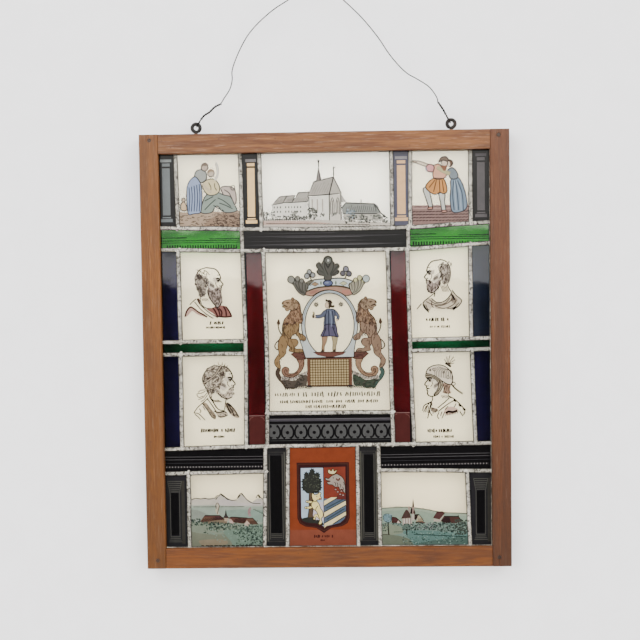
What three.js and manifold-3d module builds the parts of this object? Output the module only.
// A leaded and painted glass panel in a pegged wooden frame, hung by an iron wire from two screw eyes.
//
// Millimetres. X runs to the right, Z up, and the painted front faces -Y.
// The origin is the top of the wire, where it lies over its hook.
// Inside the panel group x runs from the frame's middle line and z from the frame's bottom edge.

import * as THREE from 'three';
import { mergeVertices } from 'three/addons/utils/BufferGeometryUtils.js';
import Module from 'manifold-3d';

// ---------------------------------------------------------------- driving sizes

const FIT = 0.3; // play between two pieces that touch

const FRAME = { width: 500, height: 594, depth: 20, stile: 26, topRail: 26.5, bottomRail: 27.5, arris: 0.8 };
const GROOVE = { wide: 5.6, deep: 5.6 };
const TENON = { thick: 6, long: 18, fromGlass: 6.2, fromEnd: 2.5 };
const PEG = { radius: 2.5, sides: 12, fromSide: 14.5, fromTop: 8, fromBottom: 11.5, sunk: 1.5 };
const SPLIT = { wide: 0.5, deep: 1.6 }; // the crack below the sunk peg

const CAME = { face: 6, depth: 5, heart: 1.9, slot: 3.1, softEdge: 0.6, borderWall: 2 };
const GLASS = { thick: 2.5, inLead: CAME.heart / 2 + FIT };

const EYE = { x: 173, rise: 9.2, ring: 5.7, rod: 2.1, ringSteps: 24, rodSides: 10, shank: 1.9, bite: 16 };
const WIRE = { diameter: 1.2, sides: 8, rise: 203, pairGap: 0.8, loop: EYE.rod + 0.35 + 0.6 };

const half = { x: FRAME.width / 2, y: FRAME.depth / 2 };
const sight = { // the edges of the wood that show round the glass
  left: -half.x + FRAME.stile,
  right: half.x - FRAME.stile,
  low: FRAME.bottomRail,
  high: FRAME.height - FRAME.topRail,
};

// ---------------------------------------------------------------- the lead lines
// Each line is the middle of one came, laid by hand, so it bends a little at its joints.
// Rows give [x, z] and columns give [z, x]. Beyond its ends a line runs on straight.

const BORDER_HIDDEN = 3.3; // the border lead stands this far into the groove at the left and the top
const BORDER_SHOWN = 1.8; // and this far at the right and the bottom, where its edge shows

const rows = {
  bottom: [[sight.left, sight.low - BORDER_SHOWN], [sight.right, sight.low - BORDER_SHOWN]],
  baseLeft: [[-225, 130.3], [-86, 132.1]],
  baseRight: [[71, 132.8], [225, 130.3]],
  ledge: [[-225, 164], [-112, 166.7], [0, 167.7], [118, 167.9], [225, 168.6]],
  underArms: [[-82, 212.2], [89, 212.3]],
  bandLeftLow: [[-225, 294.5], [-110, 295.2]],
  bandLeftHigh: [[-225, 311.7], [-110, 312.2]],
  bandRightLow: [[115, 295.9], [225, 297.4]],
  bandRightHigh: [[115, 310.7], [225, 312.5]],
  friezeLow: [[-225, 438.7], [-112.7, 435.5], [0, 434.2], [113.4, 434.9], [225, 441.5]],
  friezeHigh: [[-225, 468.4], [-112.7, 465.3], [0, 463.6], [113.4, 464.1], [225, 470]],
  top: [[sight.left, sight.high + BORDER_HIDDEN], [sight.right, sight.high + BORDER_HIDDEN]],
};

const columns = {
  left: [[0, sight.left - BORDER_HIDDEN], [FRAME.height, sight.left - BORDER_HIDDEN]],
  right: [[0, sight.right + BORDER_SHOWN], [FRAME.height, sight.right + BORDER_SHOWN]],
  // the pictures along the top, from left to right
  top1: [[464, -200.2], [571, -202.1]],
  top2: [[464, -112.1], [571, -113.9]],
  top3: [[464, -85.9], [571, -88.1]],
  top4: [[464, 92.3], [571, 91.4]],
  top5: [[464, 116.4], [571, 117.5]],
  top6: [[464, 198.2], [571, 198.6]],
  // the frieze
  frieze1: [[434, -112.7], [466, -112.7]],
  frieze2: [[434, 113.4], [466, 113.4]],
  // the middle
  edgeLeftLow: [[164, -200.2], [312, -200.2]],
  edgeLeftHigh: [[312, -199.6], [436, -200.7]],
  rubyLeftOuter: [[167, -111.9], [280, -110.2], [326, -110.4], [436, -112.8]],
  rubyLeftInner: [[167, -83], [233, -81], [326, -81.7], [435, -84]],
  rubyRightInner: [[167, 90.2], [435, 85.3]],
  rubyRightOuter: [[167, 119.1], [280, 115.3], [435, 112.1]],
  edgeRightLow: [[168, 202.8], [297, 198.5]],
  edgeRightHigh: [[312, 198], [440, 197.4]],
  // the foot, from left to right
  foot1: [[28, -192.4], [131, -192.4]],
  foot2: [[28, -88.4], [167, -85.3]],
  foot3: [[28, -57], [167, -54.6]],
  foot4: [[28, 41], [167, 41]],
  foot5: [[28, 71.1], [167, 70.2]],
  foot6: [[28, 194.3], [131, 190.9]],
};

// Every pane: its name, the cames on its left, right, lower and upper side, and its colour.
const panes = [
  ['pane_top_pilaster_far_left', 'left', 'top1', 'friezeHigh', 'top', 0x5c625f],
  ['pane_group_picture', 'top1', 'top2', 'friezeHigh', 'top', 0xd9d6c8],
  ['pane_top_pilaster_left', 'top2', 'top3', 'friezeHigh', 'top', 0xe6b98c],
  ['pane_church_picture', 'top3', 'top4', 'friezeHigh', 'top', 0xf3f1e8],
  ['pane_top_pilaster_right', 'top4', 'top5', 'friezeHigh', 'top', 0xd9a97e],
  ['pane_couple_picture', 'top5', 'top6', 'friezeHigh', 'top', 0xe9e3d2],
  ['pane_top_pilaster_far_right', 'top6', 'right', 'friezeHigh', 'top', 0x57575a],
  ['pane_green_frieze_left', 'left', 'frieze1', 'friezeLow', 'friezeHigh', 0x5a9a3c],
  ['pane_black_cornice', 'frieze1', 'frieze2', 'friezeLow', 'friezeHigh', 0x26262b],
  ['pane_green_frieze_right', 'frieze2', 'right', 'friezeLow', 'friezeHigh', 0x559a38],
  ['pane_edge_strip_upper_left', 'left', 'edgeLeftHigh', 'bandLeftHigh', 'friezeLow', 0x26243c],
  ['pane_bust_upper_left', 'edgeLeftHigh', 'rubyLeftOuter', 'bandLeftHigh', 'friezeLow', 0xdcd6c6],
  ['pane_green_band_left', 'left', 'rubyLeftOuter', 'bandLeftLow', 'bandLeftHigh', 0x144b32],
  ['pane_edge_strip_lower_left', 'left', 'edgeLeftLow', 'ledge', 'bandLeftLow', 0x19162d],
  ['pane_bust_lower_left', 'edgeLeftLow', 'rubyLeftOuter', 'ledge', 'bandLeftLow', 0xd3cbb9],
  ['pane_ruby_strip_left', 'rubyLeftOuter', 'rubyLeftInner', 'ledge', 'friezeLow', 0x4b0f16],
  ['pane_arms_picture', 'rubyLeftInner', 'rubyRightInner', 'underArms', 'friezeLow', 0xe0d9c8],
  ['pane_ring_frieze', 'rubyLeftInner', 'rubyRightInner', 'ledge', 'underArms', 0x2f2f31],
  ['pane_ruby_strip_right', 'rubyRightInner', 'rubyRightOuter', 'ledge', 'friezeLow', 0x4b0f16],
  ['pane_bust_upper_right', 'rubyRightOuter', 'edgeRightHigh', 'bandRightHigh', 'friezeLow', 0xe2dccb],
  ['pane_edge_strip_upper_right', 'edgeRightHigh', 'right', 'bandRightHigh', 'friezeLow', 0x3c4650],
  ['pane_green_band_right', 'rubyRightOuter', 'right', 'bandRightLow', 'bandRightHigh', 0x1e553c],
  ['pane_bust_lower_right', 'rubyRightOuter', 'edgeRightLow', 'ledge', 'bandRightLow', 0xd6cebb],
  ['pane_edge_strip_lower_right', 'edgeRightLow', 'right', 'ledge', 'bandRightLow', 0x1b1a3a],
  ['pane_entablature_left', 'left', 'foot2', 'baseLeft', 'ledge', 0x202024],
  ['pane_foot_pilaster_far_left', 'left', 'foot1', 'bottom', 'baseLeft', 0x2c2f2a],
  ['pane_landscape_left', 'foot1', 'foot2', 'bottom', 'baseLeft', 0xb9bcab],
  ['pane_foot_pilaster_left', 'foot2', 'foot3', 'bottom', 'ledge', 0x262b26],
  ['pane_shield_picture', 'foot3', 'foot4', 'bottom', 'ledge', 0x873c23],
  ['pane_foot_pilaster_right', 'foot4', 'foot5', 'bottom', 'ledge', 0x262b26],
  ['pane_entablature_right', 'foot5', 'right', 'baseRight', 'ledge', 0x222227],
  ['pane_landscape_right', 'foot5', 'foot6', 'bottom', 'baseRight', 0xc0c0a8],
  ['pane_foot_pilaster_far_right', 'foot6', 'right', 'bottom', 'baseRight', 0x26262a],
];

// ---------------------------------------------------------------- solids

const wasm = await Module();
wasm.setup();

function toSolid(geometry) {
  const bare = geometry.clone();
  bare.deleteAttribute('normal');
  bare.deleteAttribute('uv');
  const merged = mergeVertices(bare, 1e-4);
  const vertProperties = merged.attributes.position.array;
  const triVerts = new Uint32Array(merged.index.array);
  return new wasm.Manifold(new wasm.Mesh({ numProp: 3, vertProperties, triVerts }));
}

function toGeometry(solid) {
  const mesh = solid.getMesh();
  const geometry = new THREE.BufferGeometry();
  geometry.setAttribute('position', new THREE.BufferAttribute(mesh.vertProperties, 3));
  geometry.setIndex(new THREE.BufferAttribute(mesh.triVerts, 1));
  geometry.computeVertexNormals();
  return geometry;
}

function block([x0, x1], [y0, y1], [z0, z1]) {
  const box = new THREE.BoxGeometry(x1 - x0, y1 - y0, z1 - z0);
  return box.translate((x0 + x1) / 2, (y0 + y1) / 2, (z0 + z1) / 2);
}

// A flat plate with the outline points [x, z], its middle on y = 0. A chamfer below zero widens both faces.
function plate(points, thick, chamfer = 0) {
  const shape = new THREE.Shape(points.map(([x, z]) => new THREE.Vector2(x, z)));
  const rim = Math.abs(chamfer);
  const geometry = new THREE.ExtrudeGeometry(shape, {
    depth: thick - 2 * rim,
    bevelEnabled: rim > 0,
    bevelSegments: 1,
    bevelThickness: rim,
    bevelSize: chamfer,
  });
  geometry.translate(0, 0, rim - thick / 2);
  return geometry.rotateX(Math.PI / 2);
}

// ---------------------------------------------------------------- outlines between the lead lines

function along(line, at) {
  let i = 1;
  while (i < line.length - 1 && at > line[i][0]) i += 1;
  const [a, b] = [line[i - 1], line[i]];
  return a[1] + ((at - a[0]) * (b[1] - a[1])) / (b[0] - a[0]);
}

function crossing(column, row) {
  let x = column[0][1];
  let z = 0;
  for (let turn = 0; turn < 4; turn += 1) {
    z = along(row, x);
    x = along(column, z);
  }
  return [x, z];
}

const shifted = (line, by) => line.map(([at, place]) => [at, place + by]);
const between = (line, from, to) => line.filter(([at]) => at > from + 2 && at < to - 2);

// The outline of one pane, its sides moved in from the lead lines by inset.
function outline([, left, right, low, high], inset) {
  const sides = {
    left: shifted(columns[left], inset),
    right: shifted(columns[right], -inset),
    low: shifted(rows[low], inset),
    high: shifted(rows[high], -inset),
  };
  const a = crossing(sides.left, sides.low);
  const b = crossing(sides.right, sides.low);
  const c = crossing(sides.right, sides.high);
  const d = crossing(sides.left, sides.high);
  const turned = (knots) => knots.map(([z, x]) => [x, z]);
  return [
    a,
    ...between(sides.low, a[0], b[0]),
    b,
    ...turned(between(sides.right, b[1], c[1])),
    c,
    ...between(sides.high, d[0], c[0]).reverse(),
    d,
    ...turned(between(sides.left, a[1], d[1])).reverse(),
  ];
}

// ---------------------------------------------------------------- glass and lead

// One soldered net: a slab less, for each pane, its open view and the slot that its edge sits in.
function leadNet() {
  const wall = CAME.borderWall;
  let net = toSolid(block(
    [columns.left[0][1] - wall, columns.right[0][1] + wall],
    [-CAME.depth / 2, CAME.depth / 2],
    [rows.bottom[0][1] - wall, rows.top[0][1] + wall],
  ));
  for (const pane of panes) {
    const view = plate(outline(pane, CAME.face / 2), CAME.depth, -CAME.softEdge);
    const slot = plate(outline(pane, CAME.heart / 2), CAME.slot);
    net = net.subtract(toSolid(view)).subtract(toSolid(slot));
  }
  return toGeometry(net);
}

const paneGlass = (pane) => plate(outline(pane, GLASS.inLead), GLASS.thick);

// ---------------------------------------------------------------- the wooden frame

// A stick's cross-section, a by b, with its long edges taken off.
function stickSection([a0, a1], [b0, b1]) {
  const c = FRAME.arris;
  return new THREE.Shape([
    new THREE.Vector2(a0 + c, b0),
    new THREE.Vector2(a1 - c, b0),
    new THREE.Vector2(a1, b0 + c),
    new THREE.Vector2(a1, b1 - c),
    new THREE.Vector2(a1 - c, b1),
    new THREE.Vector2(a0 + c, b1),
    new THREE.Vector2(a0, b1 - c),
    new THREE.Vector2(a0, b0 + c),
  ]);
}

const STICK = (length) => ({ depth: length, bevelEnabled: false, steps: 1 });
const ALONG_X = new THREE.Matrix4().makeBasis(
  new THREE.Vector3(0, 1, 0),
  new THREE.Vector3(0, 0, 1),
  new THREE.Vector3(1, 0, 0),
);

const topRail = [sight.high, FRAME.height];
const bottomRail = [0, sight.low];
const pegPlaces = {
  top_left: [-half.x + PEG.fromSide, FRAME.height - PEG.fromTop],
  top_right: [half.x - PEG.fromSide, FRAME.height - PEG.fromTop],
  bottom_left: [-half.x + PEG.fromSide, PEG.fromBottom],
  bottom_right: [half.x - PEG.fromSide - 2.5, PEG.fromBottom + 1],
};

function pegHole([x, z]) {
  const hole = new THREE.CylinderGeometry(PEG.radius + FIT, PEG.radius + FIT, FRAME.depth + 2, PEG.sides);
  return toSolid(hole.translate(x, 0, z));
}

// The tenon's thickness and height inside the stile, a little smaller than its mortise by play.
function tenonSize(band, play) {
  const halfThick = TENON.thick / 2 - play;
  const [under, over] = band === topRail ? [TENON.fromGlass, TENON.fromEnd] : [TENON.fromEnd, TENON.fromGlass];
  return [[-halfThick, halfThick], [band[0] + under + play, band[1] - over - play]];
}

// A rail between the stiles, with a tenon at each end and the groove for the lead along its inner edge.
function rail(band, grooveEdge, pegs) {
  const long = sight.right - FIT;
  const [z0, z1] = band;
  const body = new THREE.ExtrudeGeometry(stickSection([-half.y, half.y], [z0, z1]), STICK(2 * long));
  const stick = toSolid(body.applyMatrix4(ALONG_X).translate(-long, 0, 0));
  const [y, z] = tenonSize(band, FIT);
  const reach = sight.right + TENON.long - FIT;
  const grooveBand = grooveEdge === z0 ? [z0 - 1, z0 + GROOVE.deep] : [z1 - GROOVE.deep, z1 + 1];
  let solid = stick.subtract(toSolid(block([-half.x, half.x], [-GROOVE.wide / 2, GROOVE.wide / 2], grooveBand)));
  solid = solid.add(toSolid(block([-reach, 1 - long], y, z)));
  solid = solid.add(toSolid(block([long - 1, reach], y, z)));
  for (const place of pegs) solid = solid.subtract(pegHole(place));
  return solid;
}

// A stile, full height, with its two mortises, its groove, stopped short of both ends, and its peg holes.
function stile(side, pegs) {
  const inner = side * (half.x - FRAME.stile);
  const outer = side * half.x;
  const across = [Math.min(inner, outer), Math.max(inner, outer)];
  const section = stickSection(across, [-half.y, half.y]);
  let solid = toSolid(new THREE.ExtrudeGeometry(section, STICK(FRAME.height)));
  const into = (from, to) => [side * from, side * to].sort((p, q) => p - q);
  const faceX = Math.abs(inner);
  const groove = block(
    into(faceX - 1, faceX + GROOVE.deep),
    [-GROOVE.wide / 2, GROOVE.wide / 2],
    [sight.low - GROOVE.deep, sight.high + GROOVE.deep],
  );
  solid = solid.subtract(toSolid(groove));
  for (const band of [topRail, bottomRail]) {
    const [y, z] = tenonSize(band, 0);
    solid = solid.subtract(toSolid(block(into(faceX - 1, faceX + TENON.long), y, z)));
  }
  for (const place of pegs) solid = solid.subtract(pegHole(place));
  return solid;
}

// The stile's foot has split from its peg hole down to the end of the wood.
function splitStile(solid, [x, z]) {
  const crack = block([x - SPLIT.wide / 2, x + SPLIT.wide / 2], [-half.y - 1, -half.y + SPLIT.deep], [-1, z]);
  return solid.subtract(toSolid(crack));
}

function peg(sunk) {
  const long = FRAME.depth - sunk;
  const pin = new THREE.CylinderGeometry(PEG.radius, PEG.radius, long, PEG.sides);
  return pin.translate(0, sunk / 2, 0);
}

// ---------------------------------------------------------------- the screw eyes and the wire

function screwEye() {
  const ring = new THREE.TorusGeometry(EYE.ring, EYE.rod, EYE.rodSides, EYE.ringSteps).rotateX(Math.PI / 2);
  const top = -EYE.ring;
  const bottom = -EYE.rise - EYE.bite;
  const shank = new THREE.CylinderGeometry(EYE.shank, EYE.shank, top - bottom, EYE.rodSides);
  shank.rotateX(Math.PI / 2).translate(0, 0, (top + bottom) / 2);
  return toGeometry(toSolid(ring).add(toSolid(shank)));
}

function eyeHole(side) {
  const deep = EYE.bite + FIT;
  const hole = new THREE.CylinderGeometry(EYE.shank + FIT, EYE.shank + FIT, deep + 2, EYE.rodSides);
  hole.rotateX(Math.PI / 2).translate(side * EYE.x, 0, FRAME.height + 1 - deep / 2);
  return toSolid(hole);
}

// The wire's bends on each side, [x, z] from the frame's top edge, from just above the eye to the hook.
// The first few are the stretch where the wire's end lies back along it.
const leftRun = [
  [-166.4, 20.4], [-161.5, 26], [-154.4, 30.3], [-146.8, 37.3], [-138, 41.4],
  [-134, 49], [-126.3, 60.5], [-122.8, 73], [-122.6, 85.3], [-114.6, 107.3], [-98, 135.9],
  [-70.5, 162.4], [-48.2, 177], [-22, 191.5], [-5, 201.5],
];
const rightRun = [
  [166.4, 21], [163, 27.5], [156, 38.2], [155, 42.5],
  [145, 58], [127.5, 70.2], [115, 77.4], [102.5, 89.4], [90.2, 104.6], [75.4, 127],
  [53, 154.5], [29.7, 177.2], [5, 200.5],
];
const PAIRED = { left: 5, right: 3 };

// The turn of the wire through an eye and round its rod, from the front of the eye to the back.
function turnThroughEye(side) {
  const lean = THREE.MathUtils.degToRad(60);
  const out = new THREE.Vector3(side * -Math.cos(lean), 0, Math.sin(lean));
  const middle = new THREE.Vector3(side * EYE.x, 0, EYE.rise).addScaledVector(out, EYE.ring);
  return [45, 90, 135, 180, 225, 270, 315].map((degrees) => {
    const turn = THREE.MathUtils.degToRad(degrees);
    const point = middle.clone().addScaledVector(out, WIRE.loop * Math.cos(turn));
    point.y -= WIRE.loop * Math.sin(turn);
    return point;
  });
}

const onRun = (run, y) => run.map(([x, z]) => new THREE.Vector3(x, y, z));

// One side of the wire from its cut end, down its own standing part, through the eye and up to the hook.
function wireSide(run, paired, side) {
  const pair = run.slice(0, paired);
  return [
    ...onRun(pair, WIRE.pairGap).reverse(),
    ...turnThroughEye(side).reverse(),
    ...onRun(pair, -WIRE.pairGap),
    ...onRun(run.slice(paired), 0),
  ];
}

// A curve that takes equal numbers of steps between its points, so its tight turns stay round.
class BentWire extends THREE.CatmullRomCurve3 {
  getUtoTmapping(u) {
    return u;
  }
}

function hangingWire() {
  const bends = [
    ...wireSide(leftRun, PAIRED.left, -1),
    new THREE.Vector3(0, 0, WIRE.rise - WIRE.diameter / 2),
    ...wireSide(rightRun, PAIRED.right, 1).reverse(),
  ];
  const section = new THREE.Shape();
  section.absarc(0, 0, WIRE.diameter / 2, 0, 2 * Math.PI, false);
  return new THREE.ExtrudeGeometry(section, {
    steps: Math.round(1.6 * (bends.length - 1)),
    curveSegments: WIRE.sides / 2,
    bevelEnabled: false,
    extrudePath: new BentWire(bends, false, 'centripetal'),
  });
}

// ---------------------------------------------------------------- the assembly

const root = new THREE.Group();
const panel = new THREE.Group();
panel.position.z = -(FRAME.height + WIRE.rise);
root.add(panel);

const finish = (color, roughness, metalness) => new THREE.MeshStandardMaterial({ color, roughness, metalness });

function place(name, geometry, material, at = [0, 0, 0]) {
  const mesh = new THREE.Mesh(geometry, material);
  mesh.name = name;
  mesh.position.set(...at);
  panel.add(mesh);
}

for (const pane of panes) place(pane[0], paneGlass(pane), finish(pane[5], 0.15, 0));
place('lead_came_net', leadNet(), finish(0x9b9c98, 0.45, 0.8));

const pegsAt = (...names) => names.map((name) => pegPlaces[name]);
let railTop = rail(topRail, sight.high, pegsAt('top_left', 'top_right'));
for (const side of [-1, 1]) railTop = railTop.subtract(eyeHole(side));
const stileRight = stile(1, pegsAt('top_right', 'bottom_right'));
place('frame_rail_top', toGeometry(railTop), finish(0xa06a50, 0.6, 0));
const railBottom = rail(bottomRail, sight.low, pegsAt('bottom_left', 'bottom_right'));
place('frame_rail_bottom', toGeometry(railBottom), finish(0x9c5c38, 0.6, 0));
place('frame_stile_left', toGeometry(stile(-1, pegsAt('top_left', 'bottom_left'))), finish(0xa56e46, 0.6, 0));
place('frame_stile_right', toGeometry(splitStile(stileRight, pegPlaces.bottom_right)), finish(0x9a6a4c, 0.6, 0));
for (const [corner, [x, z]] of Object.entries(pegPlaces)) {
  const sunk = corner === 'bottom_right' ? PEG.sunk : 0;
  place(`peg_${corner}`, peg(sunk), finish(0x6b4a34, 0.7, 0), [x, 0, z]);
}

const iron = finish(0x2c2b2a, 0.5, 0.7);
for (const [name, side] of [['left', -1], ['right', 1]]) {
  place(`screw_eye_${name}`, screwEye(), iron, [side * EYE.x, 0, FRAME.height + EYE.rise]);
}
place('hanging_wire', hangingWire(), finish(0x353230, 0.45, 0.7), [0, 0, FRAME.height]);

export default root;
